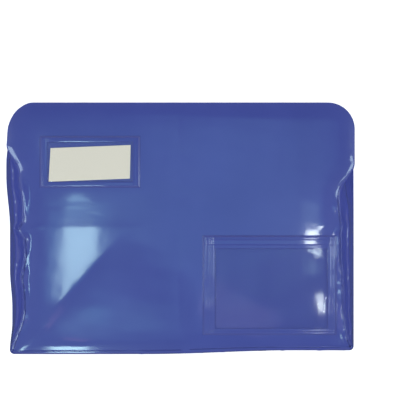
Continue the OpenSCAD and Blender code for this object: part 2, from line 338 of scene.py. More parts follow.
def woven_material(name, dark, light, scale):
    mat, nodes, links, shader, coords = new_material(name)
    wave = nodes.new("ShaderNodeTexWave")
    wave.bands_direction = "DIAGONAL"
    wave.inputs["Scale"].default_value = scale
    wave.inputs["Distortion"].default_value = 1.5
    links.new(coords, wave.inputs["Vector"])
    stops = [(0.2, dark), (0.8, light)]
    links.new(ramp(nodes, links, wave.outputs["Fac"], stops), shader.inputs["Base Color"])
    links.new(bump(nodes, links, wave.outputs["Fac"], 0.6, 0.0002), shader.inputs["Normal"])
    shader.inputs["Roughness"].default_value = 0.72
    shader.inputs["Sheen Weight"].default_value = 0.25
    return mat


def film_material(name, alpha, dark, light):
    mat, nodes, links, shader, coords = new_material(name)
    haze = noise_node(nodes, links, coords, 30, 3, 0.6)
    links.new(ramp(nodes, links, haze, [(0.35, dark), (0.7, light)]), shader.inputs["Base Color"])
    links.new(bump(nodes, links, haze, 0.08, 0.0006), shader.inputs["Normal"])
    shader.inputs["Roughness"].default_value = 0.05
    shader.inputs["Alpha"].default_value = alpha
    shader.inputs["Coat Weight"].default_value = 1.0
    shader.inputs["Coat Roughness"].default_value = 0.03
    return mat


def card_material():
    mat, nodes, links, shader, coords = new_material("off_white_card")
    fibre = noise_node(nodes, links, coords, 320, 4, 0.7)
    stops = [(0.3, (0.91, 0.80, 0.67)), (0.7, (0.97, 0.86, 0.725))]
    links.new(ramp(nodes, links, fibre, stops), shader.inputs["Base Color"])
    links.new(bump(nodes, links, fibre, 0.15, 0.0001), shader.inputs["Normal"])
    shader.inputs["Roughness"].default_value = 0.55
    return mat


def floor_material():
    mat, nodes, links, shader, coords = new_material("pale_floor")
    grain = noise_node(nodes, links, coords, 3, 2, 0.5)
    stops = [(0.3, (0.93, 0.93, 0.93)), (0.7, (0.95, 0.95, 0.95))]
    links.new(ramp(nodes, links, grain, stops), shader.inputs["Base Color"])
    shader.inputs["Roughness"].default_value = 0.9
    shader.inputs["Emission Color"].default_value = (1, 1, 1, 1)
    shader.inputs["Emission Strength"].default_value = 0.75
    return mat


NYLON = coated_nylon("blue_coated_nylon", (0.041, 0.058, 0.325), (0.051, 0.071, 0.36))
# The same cloth as the front, painted lighter so that the steep boxing strips, which stand in shade, come
# out as bright as the front. The back sheet uses it too.
NYLON_BOX_PAINTED_LIGHTER = coated_nylon("blue_coated_nylon_boxing_painted_lighter", (0.046, 0.062, 0.355), (0.055, 0.074, 0.395), 0.3)
NYLON_PATCH = coated_nylon("blue_coated_nylon_patch", (0.040, 0.056, 0.315), (0.050, 0.069, 0.35), 0.33)
BRASS = brass_material()
TAPE = woven_material("zip_tape_weave", (0.012, 0.018, 0.09), (0.03, 0.045, 0.18), 600)
THREAD = woven_material("blue_thread", (0.05, 0.08, 0.30), (0.13, 0.2, 0.5), 1500)
LABEL_FILM = film_material("clear_film_label", 0.02, (0.3, 0.3, 0.35), (0.4, 0.4, 0.45))
DOCUMENT_FILM = film_material("clear_film_document", 0.07, (0.06, 0.05, 0.30), (0.10, 0.09, 0.38))
CARD = card_material()


# ---------------------------------------------------------------- front panel
broad = waves(3, 5, 120, 260)
fine = waves(8, 6, 26, 60)
micro = waves(5, 7, 9, 20)


def along_line(x, y, a, b):
    """How far points are along the line from a to b, as a share of it, and to the right of it."""
    ax, ay, bx, by = *a, *b
    length = math.hypot(bx - ax, by - ay)
    ux, uy = (bx - ax) / length, (by - ay) / length
    return ((x - ax) * ux + (y - ay) * uy) / length, (x - ax) * uy - (y - ay) * ux


def ridge(x, y, a, b, width, height, taper):
    """A soft ridge, or a groove where height is negative, along a to b, fading at both ends."""
    t, side = along_line(x, y, a, b)
    ends = blend(0, taper, t) * blend(1, 1 - taper, t)
    return height * ends * np.exp(-((side / width) ** 2))


def label_calm(x, y):
    """1 over the label pocket and the way its card slides out, fading to 0 around them."""
    return blend(-204, -187, x) * blend(-28, -48, x) * blend(28, 52, y)


def document_calm(x, y):
    return blend(6, 29, x) * blend(220, 206, x) * blend(-160, -140, y) * blend(14, -8, y)


def crease(x, y, a, b, drop, reach, soft):
    """The sheet bends along the line from a to b, dips to the right of it and comes back up."""
    t, side = along_line(x, y, a, b)
    past = np.maximum(0.5 * (side + np.sqrt(side**2 + soft**2)) - 0.5 * soft, 0) / reach
    return drop * past * np.exp(1 - past) * blend(-0.1, 0.1, t) * blend(1.25, 0.8, t)


LEFT_CREST = [(1.6, 40, 20), (2.5, -16, 13), (2.1, -66, 26), (0.8, -125, 22)]
RIGHT_CREST = [(0.8, 28, 14), (2.4, -20, 19), (2.1, -80, 34), (1.4, -135, 16)]
# pull lines from the seams and corners: ends, width, height and how soon they fade
PULL_LINES = [
    ((-222, -165), (-168, -120), 2.2, 0.14, 0.25),
    ((-214, -166), (-160, -128), 6, -0.1, 0.25),
    ((-220, -163), (-196, -152), 2.0, 0.12, 0.25),
    ((221, -156), (207, -124), 2.4, 0.8, 0.4),
    ((214, -158), (201, -132), 4, -0.4, 0.4),
    ((-213, -2), (-176, 3), 1.8, 0.35, 0.5),
    ((-209, -30), (-196, -2), 3.5, 0.6, 0.5),
    ((-210, 72), (-198, 30), 3.5, 0.4, 0.5),
    ((211, 2), (180, 5), 2.4, 0.3, 0.5),
]


def panel_height(x, y, d):
    """Height of the front sheet over a point that is d inside its seam."""
    flank = blend(188, 205, np.abs(x)) * blend(118, 96, y)
    r = 1.0 + 0.8 * flank
    near = np.minimum(d, r)
    bead = r - np.sqrt(np.maximum(0, r * r - (r - near) ** 2))
    pillow = 1.4 * (1 - np.exp(-np.maximum(d - 1.2, 0) / 7))
    z = SEAM_TOP - bead - 0.06 * hump(d, 2.6, 1.2) * (1 - flank) + pillow
    # down both sides the seam stands up as a crest, kinked where the side tucks in
    height = np.where(x > 0, humps(y, RIGHT_CREST), humps(y, LEFT_CREST))
    crest = flank * height * (1 + 0.18 * np.sin(y / 3.1 + 2 * np.sin(y / 11)))
    z = z + crest * (hump(d, 2.0, 5.2) - 0.2 * hump(d, 14, 7))
    inner = blend(5, 22, d)
    calm = np.clip(label_calm(x, y) + document_calm(x, y), 0, 1)
    loose = inner * (1 - calm)
    z = z + 0.13 * inner * broad(x, y) + 0.018 * loose * fine(x, y)
    # the fold lines left by packing
    across = y - (3 + 1.2 * np.sin(x / 60))
    above = 0.5 * (across + np.sqrt(across**2 + 2.0))
    left_side = blend(-20, -60, x)
    z = z - loose * (0.05 - 0.045 * left_side) * np.exp(-np.abs(across) / 1.6)
    z = z - loose * left_side * 0.12 * (above / 16) * np.exp(1 - above / 16)
    streaks = np.sin(y / 1.7 + 0.9 * np.sin(x / 19)) * hump(x, -128, 40) * hump(y, 27, 13)
    z = z + loose * (0.012 * streaks + 0.0035 * micro(x, y))
    down = x - (-1 + 1.5 * np.sin(y / 34))
    z = z - loose * (0.05 * np.exp(-np.abs(down) / 2.5) + 0.12 * np.exp(-np.abs(down) / 22))
    # the crease up from the left corner, and the pull lines
    z = z - (1 - calm) * blend(5, 70, d) * crease(x, y, (-221, -165), (-92, -24), 0.78, 48, 5)
    for line in PULL_LINES:
        z = z + ridge(x, y, *line)
    pull = np.exp(-d / 9) * blend(2, 6, d) * (0.35 + 0.65 * flank)
    z = z + pull * (0.25 * fine(x * 0.35, y * 1.6) + 0.07 * micro(x * 0.4, y))
    return np.minimum(z, PLATEAU + 2.5)


def graded(length, fine_marks, step):
    """Distances from 0 to length, close together at both ends."""
    marks = [m for m in fine_marks if m < length / 2]
    middle = length - 2 * marks[-1]
    count = max(2, int(middle / step))
    body = [marks[-1] + middle * k / count for k in range(1, count)]
    return np.array(marks + body + [length - m for m in reversed(marks)])


EDGE_MARKS = [0, 0.35, 0.8, 1.4, 2.1, 2.9, 3.8, 4.8, 6.0, 7.6, 9.6, 12]


def seam_curve():
    """The front seam as one dense closed curve, clockwise from the left end of the zip."""
    run = Run(zip_rows(1.2) + plain_rows(1.2, CROSS_Y - 1.2, ZIP_LEFT - 1.2))
    return run.place(run.tuck)


def resample(points, marks):
    length = travelled(points)
    at = np.asarray(marks) / marks[-1] * length[-1]
    return np.stack([np.interp(at, length, points[:, k]) for k in (0, 1)], -1)


def distance_to(curve, points, chunk=2000):
    """Distance from each point to a closed curve."""
    out = []
    closed = np.vstack([curve, curve[:1]])
    a, ab = closed[:-1], np.diff(closed, axis=0)
    ab2 = np.maximum((ab**2).sum(1), 1e-9)
    for k in range(0, len(points), chunk):
        p = points[k : k + chunk]
        ap = p[:, None, :] - a[None]
        t = np.clip((ap * ab[None]).sum(2) / ab2[None], 0, 1)
        gap = ap - t[..., None] * ab[None]
        out.append(np.sqrt((gap**2).sum(2)).min(1))
    return np.concatenate(out)


def front_panel():
    """A grid stretched between the four stretches of the seam, lifted to its height."""
    curve = seam_curve()
    diag = math.sqrt(0.5) * TOP_R

    def nearest(x, y):
        return int(np.argmin(((curve - [x, y]) ** 2).sum(1)))

    tl = nearest(-ARC_X - diag, ARC_Y + diag)
    tr = nearest(ARC_X + diag, ARC_Y + diag)
    br = int(np.argmax(curve[:, 0] - curve[:, 1]))
    bl = int(np.argmin(curve[:, 0] + curve[:, 1]))

    def span(i, j):
        return curve[i : j + 1] if i <= j else np.vstack([curve[i:], curve[: j + 1]])

    xs = graded(450.0, EDGE_MARKS, 3.0)
    ys = graded(322.0, EDGE_MARKS, 3.0)
    top = resample(span(tl, tr), xs)
    bottom = resample(span(br, bl)[::-1], xs)
    left = resample(span(bl, tl), ys)
    right = resample(span(tr, br)[::-1], ys)
    u, v = (xs / xs[-1])[:, None, None], (ys / ys[-1])[None, :, None]
    flat = (1 - v) * bottom[:, None] + v * top[:, None] + (1 - u) * left[None] + u * right[None]
    low_ends = (1 - u) * (1 - v) * bottom[0] + u * (1 - v) * bottom[-1]
    flat = flat - (low_ends + (1 - u) * v * top[0] + u * v * top[-1])
    pts = flat.reshape(-1, 2)
    d = distance_to(curve, pts)
    z = panel_height(pts[:, 0], pts[:, 1], d)
    verts = np.column_stack([pts, z])
    obj = mesh_object("front_sheet", verts, grid_faces(len(xs), len(ys), flip=True))
    solidify(obj, SHEET)
    finish_piece(obj, NYLON, BAG, "front_panel")
    return obj, curve


front, SEAM = front_panel()


def front_z(x, y):
    """Height of the front sheet at one or more points."""
    pts = np.column_stack([np.atleast_1d(x), np.atleast_1d(y)]).astype(float)
    return panel_height(pts[:, 0], pts[:, 1], distance_to(SEAM, pts))


# ---------------------------------------------------------------- boxing strips
def section_curve(points, soft):
    """A rounded line through control points: each corner is cut back and bowed."""
    points = np.asarray(points, float)
    out = [points[:, 0]]
    for k in range(1, points.shape[1] - 1):
        before = points[:, k] + (points[:, k - 1] - points[:, k]) * soft
        after = points[:, k] + (points[:, k + 1] - points[:, k]) * soft
        for t in np.linspace(0, 1, 5):
            out.append((1 - t) ** 2 * before + 2 * t * (1 - t) * points[:, k] + t * t * after)
    out.append(points[:, -1])
    return np.stack(out, 1)


def groove_points(run):
    """The boxing's section where it folds in to the zip: (depth, z) from front seam to back."""
    t, one = run.tuck, np.ones(run.n)
    rows = [(t + 0.5, SEAM_Z * one), (LAND * one, (MID_Z + 9) * one), (LAND * one, (MID_Z + 6) * one)]
    rows += [(LAND * one, (MID_Z - 6) * one), (LAND * one, (MID_Z - 9) * one), (0 * one, BACK_Z * one)]
    return np.stack([np.stack(r, -1) for r in rows], 1)


def slack_points(run):
    """The boxing's section down the sides and along the foot, where the cloth is slack."""
    t = run.tuck
    wob = waves(21, 5, 30, 90)(run.base[:, 0], run.base[:, 1])
    lift = 1.6 * wob * blend(2, 10, t)
    one = np.ones(run.n)
    rows = [
        (t + 0.5, SEAM_Z * one),
        (t * 0.84 + 0.6, 35.5 + lift),
        (t * 0.50 + 1.6, 30.5 + 0.6 * lift),
        (t * 0.34 + 1.4, 30 + lift),
        (t * 0.24 + 0.8, 19 * one),
        (t * 0.08 + 1.2, 9 + 0.5 * lift),
        (0 * one, BACK_Z * one),
    ]
    return np.stack([np.stack(r, -1) for r in rows], 1)


def strip(name, run, section, wrinkle, node):
    """A strip of sheet swept along a run; section is [station, point, (depth, z)], outer face."""
    count, across = section.shape[:2]
    verts = []
    for j in range(across):
        flat = run.place(section[:, j, 0])
        verts.append(np.column_stack([flat, section[:, j, 1]]))
    verts = np.stack(verts, 1)
    along = travelled(verts[:, 0])
    tangent = np.gradient(verts, axis=0)
    across_way = np.gradient(verts, axis=1)
    normal = np.cross(tangent, across_way)
    normal /= np.maximum(np.linalg.norm(normal, axis=2, keepdims=True), 1e-6)
    share = np.linspace(0, 1, across)[None, :]
    verts = verts + normal * wrinkle(along[:, None], share)[..., None]
    obj = mesh_object(name, verts.reshape(-1, 3), grid_faces(count, across))
    solidify(obj, SHEET)
    return finish_piece(obj, NYLON_BOX_PAINTED_LIGHTER, BAG, node), verts


def edge_fade(share):
    """1 across a strip, falling to 0 at both of its edges."""
    return np.clip(share * 8, 0, 1) * np.clip((1 - share) * 8, 0, 1)


def facing(name, part, node, seed):
    run = Run(zip_rows(3.0, CROSS_Y - 1.0))
    curve = section_curve(groove_points(run)[:, part], 0.3)
    field = waves(seed, 6, 14, 46)

    def wrinkle(along, share):
        return 0.35 * field(along, share * 22) * edge_fade(share)

    return strip(name, run, curve, wrinkle, node)


def plain_boxing():
    run = Run(plain_rows(2.4, CROSS_Y + 5, ZIP_LEFT + 5))
    groove, slack = groove_points(run), slack_points(run)
    groove = np.concatenate([groove[:, :3], groove[:, 2:3] * 0.5 + groove[:, 3:4] * 0.5, groove[:, 3:]], 1)
    x, y = run.base[:, 0], run.base[:, 1]
    keep = np.where(x > 0, blend(14, CROSS_Y + 5, y), blend(76, ARC_Y - 2, y))[:, None, None]
    points = groove * keep + slack * (1 - keep)
    # each end is turned under and laps over the zip boxing by a few millimetres
    along = travelled(run.base)
    end = np.minimum(along, along[-1] - along)
    lap = 1.3 * blend(10, 6, end) * (1 - 0.5 * blend(1.5, 0, end))
    points[:, 1:-1, 0] -= lap[:, None]
    curve = section_curve(points, 0.42)
    field, small = waves(31, 7, 22, 60), waves(32, 6, 8, 18)

    def wrinkle(s, share):
        loose = edge_fade(share) * (1 - 0.9 * keep[:, 0])
        creased = 0.5 + 0.5 * np.sin(s / 37 + 1.3) * np.sin(s / 83)
        return loose * (0.45 * field(s, share * 40) + 0.22 * creased * small(s, share * 26))

    return strip("plain_boxing_sheet", run, curve, wrinkle, "plain_boxing")


facing_front, FACE_F = facing("zip_facing_front_sheet", slice(0, 3), "zip_facing_front", 41)
facing_back, FACE_B = facing("zip_facing_back_sheet", slice(3, 6), "zip_facing_back", 42)
boxing, BOX = plain_boxing()


def back_panel():
    """A flat sheet with a rounded lower edge: rings in from the outline below, and two above."""
    run = Run(zip_rows(3.0) + plain_rows(3.0, CROSS_Y - 3, ZIP_LEFT - 3))
    under = [(0.0, 0.95), (0.1, 0.35), (0.6, 0.0), (3.0, 0.0), (9.0, 0.0), (24.0, 0.0)]
    above = [(24.0, BACK_Z), (1.0, BACK_Z)]
    rings = []
    for inset, z in under + above:
        rings.append(np.column_stack([run.place(np.full(run.n, inset)), np.full(run.n, z)]))
    verts = np.concatenate(rings, 0)
    count, lowest = run.n, len(under)
    faces = grid_faces(lowest, count, wrap_cols=True)
    start = lowest * count
    faces += [tuple(start + k for k in face) for face in grid_faces(2, count, wrap_cols=True)]
    last = start + count
    for j in range(count):
        k = (j + 1) % count
        faces.append((last + j, last + k, k, j))
    faces.append(tuple(start - count + j for j in range(count)))
    faces.append(tuple(start + j for j in reversed(range(count))))
    obj = mesh_object("back_sheet", verts, faces)
    fix_normals(obj)
    for poly in obj.data.polygons:
        poly.use_smooth = len(poly.vertices) == 4
    return finish_piece(obj, NYLON_BOX_PAINTED_LIGHTER, BAG, "back_panel")


back = back_panel()


# ---------------------------------------------------------------- stitching
SEAM_STITCH = (4.0, 3.3, 0.30)
ZIP_STITCH = (3.6, 3.0, 0.26)
STITCH_ARCH, STITCH_SINK = 0.32, 0.35


def stitches(name, path, up, gauge, node):
    """A row of lockstitches: each is a short bowed strand that dives into the cloth at its ends.

    gauge is the pitch, the length of a stitch and the radius of its thread.
    """
    pitch, length, radius = gauge
    path, up = np.asarray(path, float), np.asarray(up, float)
    cum = travelled(path)

    def sample(values, s):
        return np.array([np.interp(s, cum, values[:, k]) for k in range(3)])

    verts, faces = [], []
    sides, steps = 6, 5
    for i in range(int(cum[-1] / pitch)):
        s0 = i * pitch + (pitch - length) / 2
        base = len(verts)
        for k in range(steps):
            t = k / (steps - 1)
            s = s0 + t * length
            centre, lift = sample(path, s), sample(up, s)
            ahead = sample(path, min(s + 0.3, cum[-1])) - sample(path, max(s - 0.3, 0))
            ahead /= max(np.linalg.norm(ahead), 1e-6)
            lift = lift - ahead * lift.dot(ahead)
            lift /= max(np.linalg.norm(lift), 1e-6)
            side = np.cross(ahead, lift)
            arch = math.sin(math.pi * t)
            centre = centre + lift * (arch * STITCH_ARCH - STITCH_SINK * (1 - arch))
            r = radius * (0.55 + 0.45 * arch)
            for q in range(sides):
                a = math.tau * q / sides
                verts.append(centre + r * (math.cos(a) * side + math.sin(a) * lift))
        for k in range(steps - 1):
            for q in range(sides):
                a, b = base + k * sides + q, base + k * sides + (q + 1) % sides
                faces.append((a, b, b + sides, a + sides))
        faces.append(tuple(base + q for q in reversed(range(sides))))
        faces.append(tuple(base + (steps - 1) * sides + q for q in range(sides)))
    obj = mesh_object(name, verts, faces)
    return finish_piece(obj, THREAD, BAG, node)


def line_on(verts, far_edge, distance):
    """A line at a distance from one edge of a swept strip, with the outward normals there."""
    order = verts[:, ::-1] if far_edge else verts
    gaps = np.linalg.norm(np.diff(order, axis=1), axis=2)
    cum = np.concatenate([np.zeros((len(order), 1)), np.cumsum(gaps, 1)], 1)

    def at(reach):
        rows = range(len(order))
        return np.array([[np.interp(reach, cum[i], order[i, :, k]) for k in range(3)] for i in rows])

    points = at(distance)
    normal = np.cross(np.gradient(points, axis=0), at(distance + 0.8) - points)
    return points, -normal if far_edge else normal


def joined_rows(first, second):
    return np.vstack([first[0], second[0]]), np.vstack([first[1], second[1]])


front_path, front_up = joined_rows(line_on(FACE_F, False, 2.2), line_on(BOX, False, 2.2))
stitches("front_seam_stitches", front_path, front_up, SEAM_STITCH, "front_seam_thread")
back_path, back_up = joined_rows(line_on(FACE_B, True, 3.5), line_on(BOX, True, 3.5))
stitches("back_seam_stitches", back_path, back_up, SEAM_STITCH, "back_seam_thread")
stitches("zip_stitches_front", *line_on(FACE_F, True, 1.8), ZIP_STITCH, "zip_stitch_front")
stitches("zip_stitches_back", *line_on(FACE_B, False, 1.8), ZIP_STITCH, "zip_stitch_back")


def cross_stitches():
    """One row across each end of the plain boxing, a few stations in."""
    for k, index in enumerate((3, len(BOX) - 4)):
        path = BOX[index, 3:-3]
        up = np.cross(BOX[index + 1, 3:-3] - path, np.gradient(path, axis=0))
        stitches(f"cross_seam_stitches_{k}", path, up, ZIP_STITCH, "cross_seam_thread")


cross_stitches()


# ---------------------------------------------------------------- zip
CHAIN_R = TOP_R - ZIP_N
STRAIGHT = ARC_X - ZIP_LEFT
ARC_RUN = CHAIN_R * math.pi / 2
ZIP_END_Y = 96.0
CHAIN_START = 16.0
CHAIN_END = STRAIGHT + ARC_RUN + ARC_Y - ZIP_END_Y
PITCH = 3.0


def chain_place(d):
    """Point and heading at a distance along the chain; the outward side is to the left of it."""
    if d < STRAIGHT:
        return np.array([ZIP_LEFT + d, HALF_Y - ZIP_N]), 0.0
    if d < STRAIGHT + ARC_RUN:
        a = (d - STRAIGHT) / CHAIN_R
        return np.array([ARC_X + CHAIN_R * math.sin(a), ARC_Y + CHAIN_R * math.cos(a)]), -a
    return np.array([HALF_X - ZIP_N, ARC_Y - (d - STRAIGHT - ARC_RUN)]), -math.pi / 2


def on_chain(d):
    """A function that takes (along, outwards, up), at a distance along the chain, to its place."""
    base, angle = chain_place(d)
    c, s = math.cos(angle), math.sin(angle)

    def place(x, y, z):
        return base[0] + c * x - s * y, base[1] + s * x + c * y, MID_Z + z

    return place


def tooth_shape(side):
    """One cast tooth: a root clamped on the tape and a narrower head, in rings from root to tip."""
    root = [(3.05, 0.55, 1.0), (2.7, 0.62, 1.25), (1.2, 0.62, 1.25)]
    rings = root + [(0.4, 0.6, 1.1), (-0.4, 0.62, 1.05), (-0.85, 0.45, 0.7)]
    octagon = [(-1, -0.6), (-0.6, -1), (0.6, -1), (1, -0.6), (1, 0.6), (0.6, 1), (-0.6, 1), (-1, 0.6)]
    points = []
    for z, half_t, half_w in rings:
        for x, y in octagon:
            points.append((x * half_t, y * half_w, side * z))
    faces = []
    for k in range(len(rings) - 1):
        for q in range(8):
            a, b = k * 8 + q, k * 8 + (q + 1) % 8
            faces.append((a, b, b + 8, a + 8))
    faces.append(tuple(range(7, -1, -1)))
    faces.append(tuple((len(rings) - 1) * 8 + q for q in range(8)))
    return points, faces


def teeth(name, side, offset, node):
    shape, shape_faces = tooth_shape(side)
    verts, faces = [], []
    for i in range(int((CHAIN_END - CHAIN_START) / PITCH)):
        base = len(verts)
        place = on_chain(CHAIN_START + offset + i * PITCH)
        verts += [place(*point) for point in shape]
        faces += [tuple(base + k for k in f) for f in shape_faces]
    obj = mesh_object(name, verts, faces, smooth=False)
    fix_normals(obj)
    return finish_piece(obj, BRASS, BAG, node)


teeth("zip_teeth_front_cast", 1, 0.0, "zip_teeth_front")
teeth("zip_teeth_back_cast", -1, PITCH / 2, "zip_teeth_back")


def tape(name, side, node):
    """One woven tape behind its row of teeth, a little thicker where the teeth grip it."""
    run = Run(zip_rows(3.0, CROSS_Y + 2))
    heights = np.linspace(MID_Z + side * 1.6, MID_Z + side * 13.0, 9)
    bulges = [0.275, 0.25] + [0] * 7
    rows = []
    for z, bulge in zip(heights, bulges):
        flat = run.place(np.full(run.n, ZIP_N - TAPE_SHEET / 2 - bulge))
        rows.append(np.column_stack([flat, np.full(run.n, z)]))
    verts = np.stack(rows, 1)
    obj = mesh_object(name, verts.reshape(-1, 3), grid_faces(run.n, len(rows), flip=side > 0))
    solidify(obj, TAPE_SHEET)
    return finish_piece(obj, TAPE, BAG, node)


tape("zip_tape_front_woven", 1, "zip_tape_front")
tape("zip_tape_back_woven", -1, "zip_tape_back")


def bevelled(name, prisms, place, body, node, bevel=0.25, segments=2):
    """Prisms of brass with softened edges, each given as (outline, low, high).

    The outline is along and up the zip, low and high are outwards, and place puts a point there.
    """
    verts, faces = [], []
    for outline, low, high in prisms:
        base, n = len(verts), len(outline)
        verts += [place(x, y, z) for y in (low, high) for x, z in outline]
        faces.append(tuple(range(base, base + n)))
        faces.append(tuple(reversed(range(base + n, base + 2 * n))))
        for k in range(n):
            a, b = base + k, base + (k + 1) % n
            faces.append((a + n, b + n, b, a))
    obj = mesh_object(name, verts, faces, smooth=False)
    fix_normals(obj)
    mod = obj.modifiers.new("soft_edges", "BEVEL")
    mod.width = bevel * MM
    mod.segments = segments
    mod.limit_method = "ANGLE"
    return finish_piece(obj, BRASS, body, node)


def box_outline(x0, x1, z0, z1):
    return [(x0, z0), (x1, z0), (x1, z1), (x0, z1)]


top_stops = [(box_outline(-1.4, 1.4, z - 1.3, z + 1.3), -1.1, 1.1) for z in (-2.9, 2.9)]
bevelled("zip_top_stops_cast", top_stops, on_chain(5), BAG, "zip_top_stops")
bottom_stop = [(box_outline(-1.5, 1.5, -3.2, 3.2), -1.2, 1.2)]
bevelled("zip_bottom_stop_cast", bottom_stop, on_chain(CHAIN_END + 1.6), BAG, "zip_bottom_stop")


def slider_outline():
    """A plate of the slider: wide over the parting teeth, narrower where they are joined."""
    half = [(-6.0, 3.4), (-5.6, 4.2), (-4.8, 4.7), (-1.0, 4.75)]
    half += [(2.0, 4.55), (4.6, 4.1), (5.6, 3.6), (6.0, 2.8)]
    return half + [(x, -z) for x, z in reversed(half)]


def rail_outline(side):
    """One side flange, just inside the edge of the plates."""
    outer = [(-5.5, 4.2), (-4.8, 4.7), (-1.0, 4.75), (2.0, 4.55), (4.6, 4.1), (5.5, 3.6)]
    inner = [(5.0, 3.3), (2.0, 3.7), (-1.0, 3.85), (-5.0, 3.5)]
    return [(x, side * z) for x, z in outer + inner]


SLIDER_X = -176.0
PLATE_LOW, PLATE_HIGH, FLANGE_LOW = 1.65, 2.72, 0.62
FLANGE_HIGH = PLATE_LOW + 0.05
POST_OUTLINE = [(-5.6, 0), (-4.4, -1.05), (-2.8, 0), (-4.4, 1.05)]
slider_parts = [
    (slider_outline(), PLATE_LOW, PLATE_HIGH),
    (slider_outline(), -PLATE_HIGH, -PLATE_LOW),
    (POST_OUTLINE, -FLANGE_HIGH, FLANGE_HIGH),
]
for side in (-1, 1):
    slider_parts.append((rail_outline(side), FLANGE_LOW, FLANGE_HIGH))
    slider_parts.append((rail_outline(side), -FLANGE_HIGH, -FLANGE_LOW))
bevelled("slider_body_cast", slider_parts, on_chain(SLIDER_X - ZIP_LEFT), "slider", "slider_body", 0.3, 3)

# the crown and the puller are shown as the CAD made them, in the same brass
for obj in bpy.data.objects:
    if obj.get("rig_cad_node") in ("slider_crown", "puller_tab"):
        for slot in obj.material_slots:
            slot.material = BRASS


# ---------------------------------------------------------------- pockets
def plate(name, x_marks, y_marks, keep, height, material, node):
    """A plate over the front sheet, with the grid cells where keep is true.

    height gives its upper and lower face as distances above the sheet.
    """
    xs, ys = np.asarray(x_marks, float), np.asarray(y_marks, float)
    gx, gy = np.meshgrid(xs, ys, indexing="ij")
    flat = np.column_stack([gx.ravel(), gy.ravel()])
    ground = front_z(flat[:, 0], flat[:, 1])
    top, low = height(flat[:, 0], flat[:, 1])
    verts = np.vstack([np.column_stack([flat, ground + top]), np.column_stack([flat, ground + low])])
    n, cols, half = len(xs), len(ys), len(flat)
    mid_x, mid_y = (xs[:-1] + xs[1:]) / 2, (ys[:-1] + ys[1:]) / 2
    kept = [[keep(x, y) for y in mid_y] for x in mid_x]
    faces = []
    for i in range(n - 1):
        for j in range(cols - 1):
            if not kept[i][j]:
                continue
            a, b = i * cols + j, (i + 1) * cols + j
            c, d = b + 1, a + 1
            faces.append((a, b, c, d))
            faces.append((d + half, c + half, b + half, a + half))
            for p, q, di, dj in ((a, b, 0, -1), (b, c, 1, 0), (c, d, 0, 1), (d, a, -1, 0)):
                ni, nj = i + di, j + dj
                if not (0 <= ni < n - 1 and 0 <= nj < cols - 1 and kept[ni][nj]):
                    faces.append((q, p, p + half, q + half))
    obj = mesh_object(name, verts, faces)
    bm = bmesh.new()
    bm.from_mesh(obj.data)
    bmesh.ops.delete(bm, geom=[v for v in bm.verts if not v.link_faces], context="VERTS")
    bm.to_mesh(obj.data)
    bm.free()
    return finish_piece(obj, material, BAG, node)


def marks(low, high, details, step):
    """Grid lines from low to high: the details given, and even steps between them."""
    fixed = sorted({round(v, 3) for v in [low, high, *details] if low <= v <= high})
    out = []
    for a, b in zip(fixed[:-1], fixed[1:]):
        count = max(1, int(round((b - a) / step)))
        out += [a + (b - a) * k / count for k in range(count)]
    return out + [fixed[-1]]


def around(ribs):
    """Grid lines across each rib."""
    return [r + step for r in ribs for step in (-1.3, -0.9, -0.45, 0, 0.45, 0.9, 1.3)]


def stepped(at, way):
    """Grid lines for the small step down at a window's edge."""
    return [at + way * k for k in (0.4, 0.8, 1.2, 1.6)]


def rounded(at, way):
    """Grid lines for the rounding at a patch's outer edge."""
    return [at + way * k for k in (0.5, 1.1, 1.7, 2.2, 2.6, 3.1)]


EDGE_TOP, RIB_WIDTH = 0.25, 0.45


